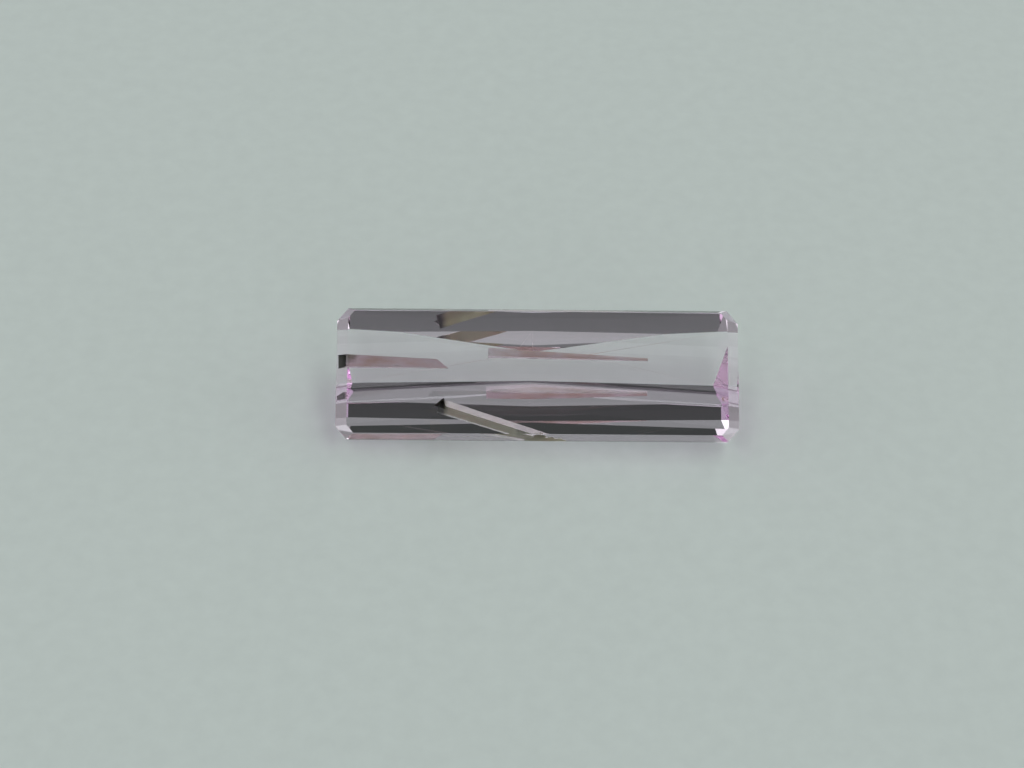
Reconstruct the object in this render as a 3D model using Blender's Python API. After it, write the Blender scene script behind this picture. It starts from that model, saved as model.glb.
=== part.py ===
# Cut kunzite with etch channels
# One clear pink stone, faceted by hand as a long step cut with cut corners. The crystal
# kept three natural etch channels, square or three-sided tubes that run along or across it.
# X runs along the stone, +Z is up, and the stone lies where it comes to rest: tipped onto
# its near keel facet, so that the table, its large top facet, faces up and to the front, -Y.
# The facets are laid out with the table level at height zero, then the stone is tipped.

import math
import random

import bmesh
import bpy
from mathutils import Matrix, Vector
from mathutils.bvhtree import BVHTree

MM = 0.001

# Outline at the girdle, the stone's widest line
LENGTH = 24.0 * MM
WIDTH = 7.99 * MM
CORNER_ALONG = 0.66 * MM
CORNER_ACROSS = 0.78 * MM
CROWN_HEIGHT = 0.64 * MM
GIRDLE_HEIGHT = 0.20 * MM

# Crown facets, in degrees from the table
SIDE_CROWN_ANGLE = 67.7
END_CROWN_ANGLE = 43.0
CORNER_CROWN_ANGLE = 52.0

# Pavilion steps from the girdle down: degrees from the table, depth of the step, and rock.
# The last step of a side is its keel facet, which runs on to the keel. A facet with a rock
# angle was ground twice, turned that much each way, and its halves meet in a low ridge.
FAR_STEPS = [
    (66.5, 0.42 * MM, 0.00),
    (58.1, 1.45 * MM, 0.57),
    (46.4, 1.20 * MM, 0.43),
    (34.9, None, 2.60),
]
NEAR_STEPS = [
    (67.0, 0.81 * MM, 0.00),
    (56.1, 1.46 * MM, 0.33),
    (46.1, 0.11 * MM, 1.02),
    (34.2, None, 1.03),
]
RIGHT_END_STEPS = [(78.0, 2.10 * MM, 0.0), (63.0, None, 0.0)]
LEFT_END_STEPS = [(80.0, 2.30 * MM, 0.0), (73.0, None, 0.0)]
CORNER_STEPS = [(74.0, 1.60 * MM, 0.0), (64.0, None, 0.0)]
RIDGE_X = -0.27 * MM

# Etch channels, laid out from the level table. Each runs straight from start to end.
# A section's corners are given across the channel and up, as shares of its width.
FLAT_SECTION = [(-0.5, -0.28), (0.5, -0.32), (0.46, 0.30), (-0.48, 0.28)]
ROOF_SECTION = [(-0.5, -0.28), (0.5, -0.34), (0.46, 0.04), (0.02, 0.34), (-0.46, 0.06)]
WEDGE_SECTION = [(-0.5, -0.36), (0.5, -0.30), (0.42, 0.34), (-0.40, 0.40)]
END_CHANNEL = {
    "start": Vector((-12.60, 0.68, -0.20)) * MM,
    "end": Vector((-5.35, 0.60, -1.02)) * MM,
    "section": FLAT_SECTION,
    "width": (0.86 * MM, 0.56 * MM),
    "slant": 0.70 * MM,
    "ledge": 0.030,
}
CROSS_CHANNEL = {
    "start": Vector((-5.85, -1.98, -0.46)) * MM,
    "end": Vector((1.60, -4.32, -0.60)) * MM,
    "section": ROOF_SECTION,
    "width": (0.88 * MM, 0.74 * MM),
    "slant": 0.0,
    "ledge": 0.022,
}
# The mouth of the cross channel in the table: a small three-sided pit
MOUTH_PLACE = Vector((-5.72, -1.98, -0.18)) * MM
MOUTH_RADIUS = 0.46 * MM
MOUTH_BOTTOM_RADIUS = 0.30 * MM
MOUTH_DEPTH = 0.60 * MM
MOUTH_TURN = 100.0
# The third channel was opened all along by the far keel facet, so it is a groove there.
# Its ends are given in plan, and its axis runs a little above the facet.
GROOVE_START = (-2.95 * MM, 1.70 * MM)
GROOVE_END = (6.70 * MM, 1.33 * MM)
GROOVE_RISE = 0.06 * MM
GROOVE = {
    "section": WEDGE_SECTION,
    "width": (0.62 * MM, 0.18 * MM),
    "slant": 0.0,
    "ledge": 0.030,
}
CHANNEL_RINGS = 26
CHANNEL_SEED = 11

# Chips at the near girdle, where the cross channel comes out: place and size
CHIPS = [
    (0.10 * MM, -3.86 * MM, -0.30 * MM, 0.34 * MM),
    (0.80 * MM, -3.94 * MM, -0.45 * MM, 0.20 * MM),
    (1.35 * MM, -3.96 * MM, -0.50 * MM, 0.13 * MM),
]
CHIP_STRETCH = 1.4
CHIP_SEED = 5

# Colours and optics
KUNZITE_IOR = 1.67
KUNZITE_COLOUR = (0.86, 0.74, 0.85, 1.0)
ETCHED_COLOUR = (0.62, 0.55, 0.50, 1.0)


def grind(bm, point, normal):
    """Take off all that lies outside one facet's plane, and close the cut."""
    geometry = bm.verts[:] + bm.edges[:] + bm.faces[:]
    cut = bmesh.ops.bisect_plane(
        bm, geom=geometry, dist=1e-8, plane_co=point, plane_no=normal, clear_outer=True)
    rim = [item for item in cut["geom_cut"] if isinstance(item, bmesh.types.BMEdge)]
    if rim:
        bmesh.ops.contextual_create(bm, geom=rim)


def slope_normal(azimuth, angle, rock=0.0):
    """Outward normal of a facet: azimuth round the stone, angle from the table, turn along X."""
    a = math.radians(azimuth)
    s = math.radians(angle)
    r = math.radians(rock)
    tilted = Vector((math.cos(a) * math.sin(s), math.sin(a) * math.sin(s), math.cos(s)))
    return tilted * math.cos(r) + Vector((math.sin(r), 0.0, 0.0))


def grind_side(bm, azimuth, foot, crown_angle, steps):
    """Grind one side from the girdle: its girdle band, its crown facet and its pavilion steps."""
    outward = Vector((math.cos(math.radians(azimuth)), math.sin(math.radians(azimuth)), 0.0))
    grind(bm, foot, outward)
    grind(bm, foot + Vector((0.0, 0.0, -CROWN_HEIGHT)), slope_normal(azimuth, crown_angle))
    inset = 0.0
    depth = CROWN_HEIGHT + GIRDLE_HEIGHT
    for angle, drop, rock in steps:
        point = foot - outward * inset + Vector((0.0, 0.0, -depth))
        if rock:
            point.x = RIDGE_X
            grind(bm, point, slope_normal(azimuth, 180.0 - angle, -rock))
        grind(bm, point, slope_normal(azimuth, 180.0 - angle, rock))
        if drop is not None:
            inset += drop / math.tan(math.radians(angle))
            depth += drop


def cut_stone():
    """The faceted stone with its table level at height zero."""
    bm = bmesh.new()
    bmesh.ops.create_cube(bm, size=1.0)
    bmesh.ops.scale(bm, vec=(1.2 * LENGTH, 1.2 * WIDTH, 1.2 * WIDTH), verts=bm.verts)
    bmesh.ops.translate(bm, vec=(0.0, 0.0, -0.55 * WIDTH), verts=bm.verts)
    grind(bm, Vector((0.0, 0.0, 0.0)), Vector((0.0, 0.0, 1.0)))
    half_length = 0.5 * LENGTH
    half_width = 0.5 * WIDTH
    grind_side(bm, 90.0, Vector((0.0, half_width, 0.0)), SIDE_CROWN_ANGLE, FAR_STEPS)
    grind_side(bm, -90.0, Vector((0.0, -half_width, 0.0)), SIDE_CROWN_ANGLE, NEAR_STEPS)
    grind_side(bm, 0.0, Vector((half_length, 0.0, 0.0)), END_CROWN_ANGLE, RIGHT_END_STEPS)
    grind_side(bm, 180.0, Vector((-half_length, 0.0, 0.0)), END_CROWN_ANGLE, LEFT_END_STEPS)
    for side_x in (-1.0, 1.0):
        for side_y in (-1.0, 1.0):
            azimuth = math.degrees(math.atan2(side_y * CORNER_ALONG, side_x * CORNER_ACROSS))
            foot = Vector((side_x * (half_length - 0.5 * CORNER_ALONG),
                           side_y * (half_width - 0.5 * CORNER_ACROSS), 0.0))
            grind_side(bm, azimuth, foot, CORNER_CROWN_ANGLE, CORNER_STEPS)
    return bm


def channel(name, start, end, section, width, slant, ledge):
    """A cutter for one etch channel: rings of the section from start to end, with stepped walls."""
    chance = random.Random(CHANNEL_SEED)
    axis = end - start
    forward = axis.normalized()
    across = Vector((0.0, 0.0, 1.0)).cross(forward).normalized()
    upward = forward.cross(across)
    bm = bmesh.new()
    rings = []
    step = [0.0] * len(section)
    for index in range(CHANNEL_RINGS):
        share = index / (CHANNEL_RINGS - 1)
        size = width[0] + (width[1] - width[0]) * share
        ring = []
        for corner, (side, up) in enumerate(section):
            if chance.random() < 0.35:
                step[corner] = chance.uniform(-ledge, ledge)
            grow = size * (1.0 + step[corner])
            lean = slant * (0.5 + side) * share
            ring.append(bm.verts.new(
                start + axis * share + across * side * grow + upward * up * grow - forward * lean))
        rings.append(ring)
    for first, second in zip(rings, rings[1:]):
        for corner in range(len(section)):
            after = (corner + 1) % len(section)
            bm.faces.new((first[corner], first[after], second[after], second[corner]))
    bm.faces.new(reversed(rings[0]))
    bm.faces.new(rings[-1])
    bmesh.ops.triangulate(bm, faces=bm.faces[:])
    bmesh.ops.recalc_face_normals(bm, faces=bm.faces[:])
    return finish_mesh(name, bm)


def finish_mesh(name, bm):
    """Turn a bmesh into a named object in the scene."""
    mesh = bpy.data.meshes.new(name)
    bm.to_mesh(mesh)
    bm.free()
    body = bpy.data.objects.new(name, mesh)
    bpy.context.scene.collection.objects.link(body)
    return body


def on_the_underside(bm, place, rise):
    """The point on the stone's underside below a place in plan, raised into the stone."""
    tree = BVHTree.FromBMesh(bm)
    below = Vector((place[0], place[1], -WIDTH))
    hit = tree.ray_cast(below, Vector((0.0, 0.0, 1.0)))[0]
    return hit + Vector((0.0, 0.0, rise))


def mouth_cutter(name):
    """A cutter for the three-sided pit where the cross channel meets the table."""
    bm = bmesh.new()
    bmesh.ops.create_cone(bm, cap_ends=True, segments=3, radius1=MOUTH_BOTTOM_RADIUS,
                          radius2=MOUTH_RADIUS, depth=MOUTH_DEPTH)
    bmesh.ops.rotate(bm, verts=bm.verts, cent=(0.0, 0.0, 0.0),
                     matrix=Matrix.Rotation(math.radians(MOUTH_TURN), 3, "Z"))
    bmesh.ops.translate(bm, verts=bm.verts, vec=MOUTH_PLACE)
    return finish_mesh(name, bm)


def chip_cutter(name):
    """A cutter for the chips along the near girdle: small flattened lumps with flat faces."""
    chance = random.Random(CHIP_SEED)
    bm = bmesh.new()
    for along, across, height, size in CHIPS:
        lump = bmesh.ops.create_icosphere(bm, subdivisions=1, radius=size)["verts"]
        for vert in lump:
            vert.co *= chance.uniform(0.82, 1.0)
            vert.co.x *= CHIP_STRETCH
        bmesh.ops.rotate(bm, verts=lump, cent=(0.0, 0.0, 0.0),
                         matrix=Matrix.Rotation(chance.uniform(-0.6, 0.6), 3, "Y"))
        bmesh.ops.translate(bm, verts=lump, vec=(along, across, height))
    return finish_mesh(name, bm)


def plain_material(name, colour, roughness, transmission):
    """A Principled material; the stone is clear, and the etched walls are frosted."""
    material = bpy.data.materials.new(name)
    material.use_nodes = True
    shader = material.node_tree.nodes["Principled BSDF"]
    shader.inputs["Base Color"].default_value = colour
    shader.inputs["Roughness"].default_value = roughness
    shader.inputs["Metallic"].default_value = 0.0
    shader.inputs["Transmission Weight"].default_value = transmission
    shader.inputs["IOR"].default_value = KUNZITE_IOR
    return material


def resting_place(bm):
    """Tip the stone onto the left half of its near keel facet, its box's base on the origin."""
    angle, _, rock = NEAR_STEPS[-1]
    facet = slope_normal(-90.0, 180.0 - angle, -rock)
    tip = facet.rotation_difference(Vector((0.0, 0.0, -1.0))).to_matrix().to_4x4()
    corners = [tip @ vert.co for vert in bm.verts]
    middle = [0.5 * (min(c[i] for c in corners) + max(c[i] for c in corners)) for i in (0, 1)]
    base = min(corner.z for corner in corners)
    return Matrix.Translation((-middle[0], -middle[1], -base)) @ tip


def carve(body, cutter):
    """Cut one closed shape out of the stone; the cutter itself stays as a wire guide."""
    cutter.hide_render = True
    cutter.display_type = "WIRE"
    cut = body.modifiers.new("cut " + cutter.name, "BOOLEAN")
    cut.operation = "DIFFERENCE"
    cut.object = cutter
    cut.material_mode = "TRANSFER"


def main():
    for old in list(bpy.data.objects):
        bpy.data.objects.remove(old, do_unlink=True)
    clear = plain_material("clear kunzite", KUNZITE_COLOUR, 0.02, 1.0)
    etched = plain_material("etched wall", ETCHED_COLOUR, 0.55, 0.6)
    level_stone = cut_stone()
    seat = resting_place(level_stone)
    groove_start = on_the_underside(level_stone, GROOVE_START, GROOVE_RISE)
    groove_end = on_the_underside(level_stone, GROOVE_END, GROOVE_RISE)
    stone = finish_mesh("kunzite", level_stone)
    stone.data.materials.append(clear)
    stone.data.transform(seat)
    cutters = [
        channel("end_channel_cutter", **END_CHANNEL),
        channel("cross_channel_cutter", **CROSS_CHANNEL),
        channel("keel_groove_cutter", groove_start, groove_end, **GROOVE),
        mouth_cutter("channel_mouth_cutter"),
        chip_cutter("chip_cutter"),
    ]
    for cutter in cutters:
        cutter.data.materials.append(etched)
        cutter.data.transform(seat)
        carve(stone, cutter)


main()
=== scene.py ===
# Cut kunzite with etch channels, lying on pale paper in a soft studio light
# The stone is one closed see-through piece: polished facets, and channel walls frosted by
# natural etching. Sizes are in metres and angles in degrees.
import math

import bmesh
import bpy
from mathutils import Matrix, Vector


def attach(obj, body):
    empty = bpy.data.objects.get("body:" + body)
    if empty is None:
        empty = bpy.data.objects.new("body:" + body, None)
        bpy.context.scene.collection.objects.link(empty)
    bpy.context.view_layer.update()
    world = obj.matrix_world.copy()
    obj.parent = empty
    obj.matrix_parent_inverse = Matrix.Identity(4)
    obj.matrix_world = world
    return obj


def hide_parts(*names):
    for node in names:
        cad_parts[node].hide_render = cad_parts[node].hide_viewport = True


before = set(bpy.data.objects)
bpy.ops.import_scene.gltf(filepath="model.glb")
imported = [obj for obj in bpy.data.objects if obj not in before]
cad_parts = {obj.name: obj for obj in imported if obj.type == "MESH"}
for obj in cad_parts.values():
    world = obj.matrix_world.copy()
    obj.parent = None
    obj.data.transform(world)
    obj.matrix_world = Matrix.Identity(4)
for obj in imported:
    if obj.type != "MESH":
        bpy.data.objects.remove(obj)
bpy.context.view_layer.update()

mm = 0.001


# An sRGB hex colour as the linear values that nodes take
def linearColour(text):
    parts = [int(text[i:i + 2], 16) / 255.0 for i in (1, 3, 5)]
    linear = [p / 12.92 if p <= 0.04045 else ((p + 0.055) / 1.055) ** 2.4 for p in parts]
    return (*linear, 1.0)


# Add a node, set its properties and unlinked inputs, and link the other inputs
def addNode(tree, kind, links=None, **settings):
    node = tree.nodes.new(kind)
    inputs = settings.pop("inputs", {})
    for name, value in settings.items():
        setattr(node, name, value)
    for name, value in inputs.items():
        node.inputs[name].default_value = value
    for name, source in (links or {}).items():
        tree.links.new(source, node.inputs[name])
    return node


# A material that holds only its output node
def newMaterial(name):
    material = bpy.data.materials.new(name)
    material.use_nodes = True
    tree = material.node_tree
    tree.nodes.clear()
    return material, tree, addNode(tree, "ShaderNodeOutputMaterial")


# A colour ramp's stops: place from 0 to 1, and colour
def fillRamp(ramp, stops):
    elements = ramp.color_ramp.elements
    while len(elements) > 1:
        elements.remove(elements[0])
    elements[0].position, elements[0].color = stops[0]
    for place, colour in stops[1:]:
        elements.new(place).color = colour


stoneLook = {
    "ior": 1.67,
    "absorbColour": (0.95, 0.62, 0.93),  # what is let through, in linear values
    "absorbDensity": 36.0,  # per metre, so a stone's length is needed for a full pink
    "mergeGap": 0.0004 * mm,
    "wallGap": 0.004 * mm,  # a face this far inside the hull is a channel wall
    "polishLineGap": 0.2976 * mm,  # coarser than real polish, so that it can show
    "polishLineStretch": 0.08,
    "polishLineStrength": 0.015,
    "polishLineDepth": 0.002 * mm,
    "dustGap": 0.3846 * mm,
    "dustShare": (0.66, 0.80),  # where the noise counts as dust, from start to full
    "dustRoughness": 0.12,
}


# Short paths through the stone stay clear, and long ones, as at its ends, go lilac pink
def addAbsorption(tree, output):
    volume = addNode(tree, "ShaderNodeVolumeAbsorption",
                     inputs={"Color": (*stoneLook["absorbColour"], 1.0),
                             "Density": stoneLook["absorbDensity"]})
    tree.links.new(volume.outputs[0], output.inputs["Volume"])


# Clear kunzite, polished by hand: sharp bright facets with faint polishing lines along the
# stone and a few dusty spots, so no highlight is perfect
def clearKunzite():
    material, tree, output = newMaterial("clear kunzite")
    place = addNode(tree, "ShaderNodeTexCoord")
    lines = addNode(tree, "ShaderNodeMapping", {"Vector": place.outputs["Object"]},
                    inputs={"Scale": (stoneLook["polishLineStretch"], 1.0, 1.0)})
    polish = addNode(tree, "ShaderNodeTexNoise", {"Vector": lines.outputs[0]},
                     inputs={"Scale": 1.0 / stoneLook["polishLineGap"], "Detail": 3.0})
    bump = addNode(tree, "ShaderNodeBump", {"Height": polish.outputs["Fac"]},
                   inputs={"Strength": stoneLook["polishLineStrength"],
                           "Distance": stoneLook["polishLineDepth"]})
    dust = addNode(tree, "ShaderNodeTexNoise", {"Vector": place.outputs["Object"]},
                   inputs={"Scale": 1.0 / stoneLook["dustGap"], "Detail": 4.0})
    dustStart, dustFull = stoneLook["dustShare"]
    rough = addNode(tree, "ShaderNodeMapRange", {"Value": dust.outputs["Fac"]},
                    inputs={"From Min": dustStart, "From Max": dustFull,
                            "To Min": 0.0, "To Max": stoneLook["dustRoughness"]})
    shader = addNode(tree, "ShaderNodeBsdfPrincipled",
                     {"Roughness": rough.outputs[0], "Normal": bump.outputs[0]},
                     inputs={"Base Color": (1.0, 1.0, 1.0, 1.0), "Transmission Weight": 1.0,
                             "IOR": stoneLook["ior"]})
    tree.links.new(shader.outputs[0], output.inputs["Surface"])
    addAbsorption(tree, output)
    return material


channelLook = {
    "olive": "#6F6A55",
    "pale": "#DAD0CF",
    "iron": "#B98E6C",
    # near-black for the mouths: partly dirt, partly painted shade for the dark inside the
    # hollows
    "dirtAndShade": "#26241F",
    "crossTint": "#BCD0A4",
    "tintStops": (0.30, 0.44, 0.74),  # olive, pale and iron, along the ledge noise
    "roughness": 0.42,
    "clearness": 0.88,
    "ledgeGap": 0.6667 * mm,
    "ledgeStretch": 0.35,
    "grainGap": 0.2941 * mm,
    "grainStrength": 0.35,
    "grainDepth": 0.01 * mm,
    # where the mouths' near-black dirt and painted shade lies
    "endDirtAndShade": (-11.15 * mm, -11.45 * mm),  # along X: where it starts, and where it is full
    "pitDirtAndShade": (-5.30 * mm, -5.60 * mm),
    "crossSide": (-0.80 * mm, -1.20 * mm),  # along Y: the cross channel's side of the stone
}


# How far a coordinate lies between two places, from 0 to 1
def rampBetween(tree, value, span):
    return addNode(tree, "ShaderNodeMapRange", {"Value": value},
                   inputs={"From Min": span[0], "From Max": span[1]}).outputs[0]


# The same kunzite where it was etched: frosted walls that blur what is behind them, olive
# and pale by turns, stained by iron, and near-black and opaque in the mouths, partly dirt and
# partly painted shade for the dark inside the hollows
def etchedWall():
    material, tree, output = newMaterial("etched wall")
    place = addNode(tree, "ShaderNodeTexCoord")
    stretch = addNode(tree, "ShaderNodeMapping", {"Vector": place.outputs["Object"]},
                      inputs={"Scale": (channelLook["ledgeStretch"], 1.0, 1.0)})
    ledges = addNode(tree, "ShaderNodeTexNoise", {"Vector": stretch.outputs[0]},
                     inputs={"Scale": 1.0 / channelLook["ledgeGap"], "Detail": 5.0})
    grain = addNode(tree, "ShaderNodeTexNoise", {"Vector": place.outputs["Object"]},
                    inputs={"Scale": 1.0 / channelLook["grainGap"], "Detail": 6.0})
    tint = addNode(tree, "ShaderNodeValToRGB", {"Fac": ledges.outputs["Fac"]})
    wallColours = [linearColour(channelLook[name]) for name in ("olive", "pale", "iron")]
    fillRamp(tint, list(zip(channelLook["tintStops"], wallColours)))
    axes = addNode(tree, "ShaderNodeSeparateXYZ", {"Vector": place.outputs["Object"]})
    # Near-black in the mouth at the left end, and in the pit of the cross channel in the table:
    # partly dirt, partly painted shade
    endDirtAndShade = rampBetween(tree, axes.outputs["X"], channelLook["endDirtAndShade"])
    pitAlong = rampBetween(tree, axes.outputs["X"], channelLook["pitDirtAndShade"])
    crossSide = rampBetween(tree, axes.outputs["Y"], channelLook["crossSide"])
    pitDirtAndShade = addNode(tree, "ShaderNodeMath", {0: pitAlong, 1: crossSide},
                      operation="MULTIPLY")
    dirtAndShade = addNode(tree, "ShaderNodeMath", {0: endDirtAndShade, 1: pitDirtAndShade.outputs[0]},
                   operation="MAXIMUM")
    # The cross channel's walls are more olive than those of the other two
    walls = addNode(tree, "ShaderNodeMix", {0: crossSide, 6: tint.outputs["Color"]},
                    data_type="RGBA", blend_type="MULTIPLY")
    walls.inputs[7].default_value = linearColour(channelLook["crossTint"])
    # Near-black and opaque where the mask is full: dirt, and painted shade in the hollows
    colour = addNode(tree, "ShaderNodeMix", {0: dirtAndShade.outputs[0], 6: walls.outputs[2]},
                     data_type="RGBA")
    colour.inputs[7].default_value = linearColour(channelLook["dirtAndShade"])
    clear = addNode(tree, "ShaderNodeMapRange", {"Value": dirtAndShade.outputs[0]},
                    inputs={"To Min": channelLook["clearness"], "To Max": 0.0})
    bump = addNode(tree, "ShaderNodeBump", {"Height": grain.outputs["Fac"]},
                   inputs={"Strength": channelLook["grainStrength"],
                           "Distance": channelLook["grainDepth"]})
    shader = addNode(tree, "ShaderNodeBsdfPrincipled",
                     {"Base Color": colour.outputs[2], "Normal": bump.outputs[0],
                      "Transmission Weight": clear.outputs[0]},
                     inputs={"Roughness": channelLook["roughness"], "IOR": stoneLook["ior"]})
    tree.links.new(shader.outputs[0], output.inputs["Surface"])
    addAbsorption(tree, output)
    return material


paperLook = {
    "colour": "#DDE6E2",
    "shade": 0.96,
    "shadeStops": (0.3, 0.7),
    "size": 1.6,
    "gap": 0.02 * mm,
    "fibreGap": 1.1111 * mm,
    "fibreStrength": 0.15,
    "fibreDepth": 0.02 * mm,
    "roughness": 0.85,
}


# Uncoated paper: matte and pale, with a faint cloudy fibre in its colour and its surface
def paper():
    material, tree, output = newMaterial("pale paper")
    place = addNode(tree, "ShaderNodeTexCoord")
    fibre = addNode(tree, "ShaderNodeTexNoise", {"Vector": place.outputs["Object"]},
                    inputs={"Scale": 1.0 / paperLook["fibreGap"], "Detail": 4.0})
    base = linearColour(paperLook["colour"])
    shaded = (*[c * paperLook["shade"] for c in base[:3]], 1.0)
    tint = addNode(tree, "ShaderNodeValToRGB", {"Fac": fibre.outputs["Fac"]})
    fillRamp(tint, list(zip(paperLook["shadeStops"], (shaded, base))))
    bump = addNode(tree, "ShaderNodeBump", {"Height": fibre.outputs["Fac"]},
                   inputs={"Strength": paperLook["fibreStrength"],
                           "Distance": paperLook["fibreDepth"]})
    shader = addNode(tree, "ShaderNodeBsdfPrincipled",
                     {"Base Color": tint.outputs["Color"], "Normal": bump.outputs[0]},
                     inputs={"Roughness": paperLook["roughness"]})
    tree.links.new(shader.outputs[0], output.inputs["Surface"])
    return material


# A channel wall is a face that has part of the stone outside its plane
def markWalls(bm):
    points = [vert.co.copy() for vert in bm.verts]
    for face in bm.faces:
        offset = face.normal.dot(face.verts[0].co)
        reach = max(face.normal.dot(point) for point in points)
        face.material_index = 1 if reach > offset + stoneLook["wallGap"] else 0


# A merged copy of the stone's solid, with its channel walls in their own material
def makeStone():
    source = bpy.data.objects["kunzite"]
    bm = bmesh.new()
    bm.from_mesh(source.data)
    bm.transform(source.matrix_world)
    bmesh.ops.remove_doubles(bm, verts=bm.verts, dist=stoneLook["mergeGap"])
    bmesh.ops.recalc_face_normals(bm, faces=bm.faces)
    markWalls(bm)
    mesh = bpy.data.meshes.new("kunziteStone")
    bm.to_mesh(mesh)
    bm.free()
    stone = bpy.data.objects.new("kunziteStone", mesh)
    bpy.context.scene.collection.objects.link(stone)
    mesh.materials.append(clearKunzite())
    mesh.materials.append(etchedWall())
    for polygon in mesh.polygons:
        polygon.use_smooth = False
    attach(stone, "root")
    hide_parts("kunzite")
    return stone


# The paper lies a hair below the resting facet, so the two never share a plane
def makeFloor():
    half = paperLook["size"] / 2.0
    mesh = bpy.data.meshes.new("paper")
    corners = [(-half, -half), (half, -half), (half, half), (-half, half)]
    mesh.from_pydata([(x, y, -paperLook["gap"]) for x, y in corners], [], [(0, 1, 2, 3)])
    mesh.materials.append(paper())
    floor = bpy.data.objects.new("paper", mesh)
    bpy.context.scene.collection.objects.link(floor)


lightLook = {
    # Angle from straight up across the stone, minus towards the viewer, and brightness
    "sky": [
        (-90.0, 0.30), (-66.0, 0.30), (-58.0, 0.03), (-42.0, 0.055), (-36.0, 0.26),
        (-14.0, 0.26), (-8.0, 0.10), (-4.0, 0.46), (8.0, 0.46), (12.0, 0.03),
        (60.0, 0.03), (78.0, 0.05), (90.0, 0.18),
    ],
    # The direction's share along X, from the left end to the right, and brightness
    "sides": [
        (-1.0, 0.80), (-0.82, 0.80), (-0.78, 0.15), (-0.50, 0.15), (-0.45, 0.90), (-0.25, 0.90),
        (-0.20, 0.0), (0.20, 0.0), (0.25, 1.25), (0.45, 1.25), (0.50, 0.20), (0.78, 0.20),
        (0.82, 1.00), (1.0, 1.00),
    ],
    "skyTint": (0.92, 1.03, 0.98),  # a little green, which keeps the stone's darks neutral
    "sideTint": (1.0, 1.01, 1.02),
    "bounces": 32,
    "glassBounces": 24,
    "paperBounces": 4,
}


# Soft bands of light: dark round the camera, a bright strip overhead, a light on each side.
# What each facet shows is the band that its light path ends in.
def makeLight():
    world = bpy.data.worlds.new("studio")
    bpy.context.scene.world = world
    world.use_nodes = True
    tree = world.node_tree
    tree.nodes.clear()
    output = addNode(tree, "ShaderNodeOutputWorld")
    place = addNode(tree, "ShaderNodeTexCoord")
    axes = addNode(tree, "ShaderNodeSeparateXYZ", {"Vector": place.outputs["Generated"]})
    angle = addNode(tree, "ShaderNodeMath", {0: axes.outputs["Y"], 1: axes.outputs["Z"]},
                    operation="ARCTAN2")
    height = addNode(tree, "ShaderNodeMapRange", {"Value": angle.outputs[0]},
                     inputs={"From Min": -math.pi / 2.0, "From Max": math.pi / 2.0})
    sky = addNode(tree, "ShaderNodeValToRGB", {"Fac": height.outputs[0]})
    fillRamp(sky, [((tilt + 90.0) / 180.0, (*[level * c for c in lightLook["skyTint"]], 1.0))
                   for tilt, level in lightLook["sky"]])
    along = addNode(tree, "ShaderNodeMapRange", {"Value": axes.outputs["X"]},
                    inputs={"From Min": -1.0, "From Max": 1.0})
    sides = addNode(tree, "ShaderNodeValToRGB", {"Fac": along.outputs[0]})
    fillRamp(sides, [((x + 1.0) / 2.0, (*[level * c for c in lightLook["sideTint"]], 1.0))
                     for x, level in lightLook["sides"]])
    both = addNode(tree, "ShaderNodeMix", {6: sky.outputs["Color"], 7: sides.outputs["Color"]},
                   data_type="RGBA", blend_type="ADD")
    both.inputs[0].default_value = 1.0
    background = addNode(tree, "ShaderNodeBackground", {"Color": both.outputs[2]})
    tree.links.new(background.outputs[0], output.inputs["Surface"])


photoPixel = 0.0594 * mm  # one pixel of the photograph, at the table
cameraLook = {
    "lens": 85.0,
    "sensor": 36.0,
    "frameWidth": 1024.0 * photoPixel,
    "tableAcross": 26.0 * photoPixel,  # the table's middle, from the picture's middle
    "tableDown": -11.63 * photoPixel,
    "tiltFromTable": 12.24,
    "turnFromTable": -0.97,
    "roll": 0.55,
    "near": 0.001,
    "far": 10.0,
}


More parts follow.
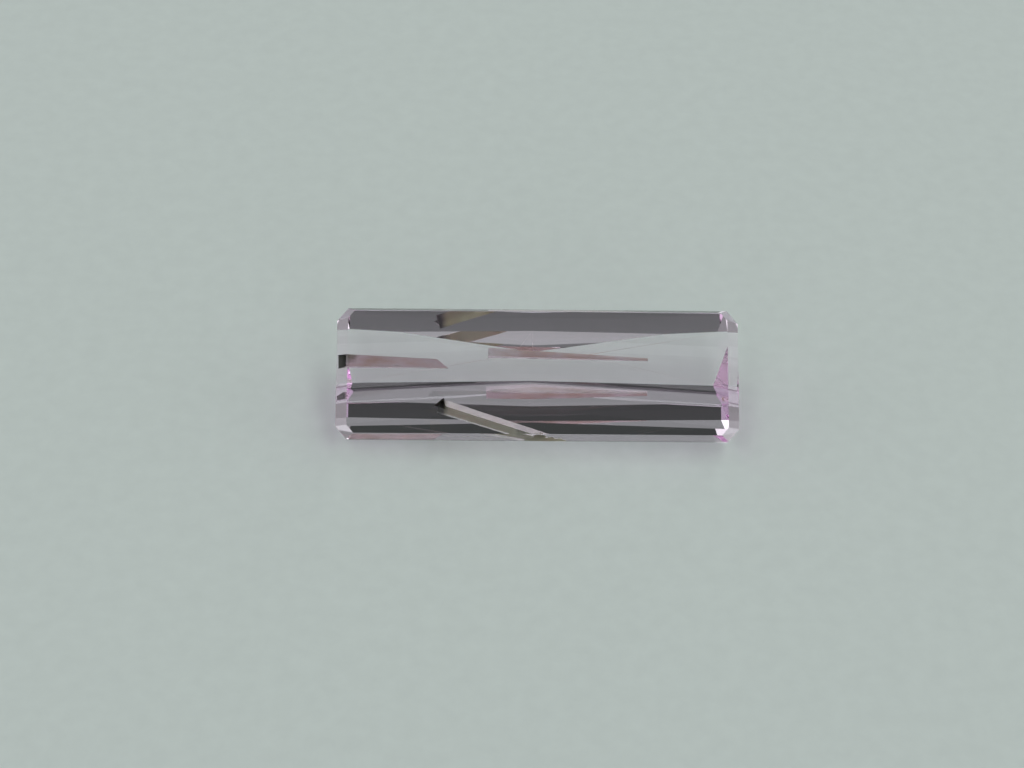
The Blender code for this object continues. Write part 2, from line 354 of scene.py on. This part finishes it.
# Nearly straight down on the table, and a little from the front
def makeCamera(stone):
    table = max(stone.data.polygons, key=lambda p: p.area if p.normal.z > 0.5 else 0.0)
    top = [p for p in stone.data.polygons if p.normal.dot(table.normal) > 0.9999]
    corners = [stone.data.vertices[i].co for p in top for i in p.vertices]
    centre = Vector([(min(c[i] for c in corners) + max(c[i] for c in corners)) / 2.0
                     for i in range(3)])
    normal = table.normal.copy()
    alongTable = Vector((1.0, 0.0, 0.0))
    alongTable = (alongTable - normal * alongTable.dot(normal)).normalized()
    downTable = alongTable.cross(normal)
    tilt = math.radians(cameraLook["tiltFromTable"])
    turn = math.radians(cameraLook["turnFromTable"])
    back = (alongTable * math.sin(turn) + downTable * math.sin(tilt) * math.cos(turn)
            + normal * math.cos(tilt) * math.cos(turn)).normalized()
    right = (-downTable).cross(back).normalized()
    up = back.cross(right)
    roll = math.radians(cameraLook["roll"])
    right, up = (right * math.cos(roll) + up * math.sin(roll),
                 up * math.cos(roll) - right * math.sin(roll))
    distance = cameraLook["lens"] / cameraLook["sensor"] * cameraLook["frameWidth"]
    aim = centre - right * cameraLook["tableAcross"] + up * cameraLook["tableDown"]
    camera = bpy.data.cameras.new("camera")
    camera.lens = cameraLook["lens"]
    camera.sensor_width = cameraLook["sensor"]
    camera.clip_start = cameraLook["near"]
    camera.clip_end = cameraLook["far"]
    holder = bpy.data.objects.new("camera", camera)
    bpy.context.scene.collection.objects.link(holder)
    pose = Matrix((right, up, back)).transposed().to_4x4()
    pose.translation = aim + back * distance
    holder.matrix_world = pose
    bpy.context.scene.camera = holder


# Light crosses the stone many times before it leaves, so the limits are raised
def setLightPaths():
    scene = bpy.context.scene
    scene.cycles.max_bounces = lightLook["bounces"]
    scene.cycles.glossy_bounces = lightLook["glassBounces"]
    scene.cycles.transmission_bounces = lightLook["glassBounces"]
    scene.cycles.diffuse_bounces = lightLook["paperBounces"]
    scene.cycles.blur_glossy = 0.0
    scene.cycles.caustics_reflective = True
    scene.cycles.caustics_refractive = True
    scene.view_settings.view_transform = "Standard"


print("stone and its materials")
stoneBody = makeStone()
print("paper and light")
makeFloor()
makeLight()
print("camera")
makeCamera(stoneBody)
setLightPaths()
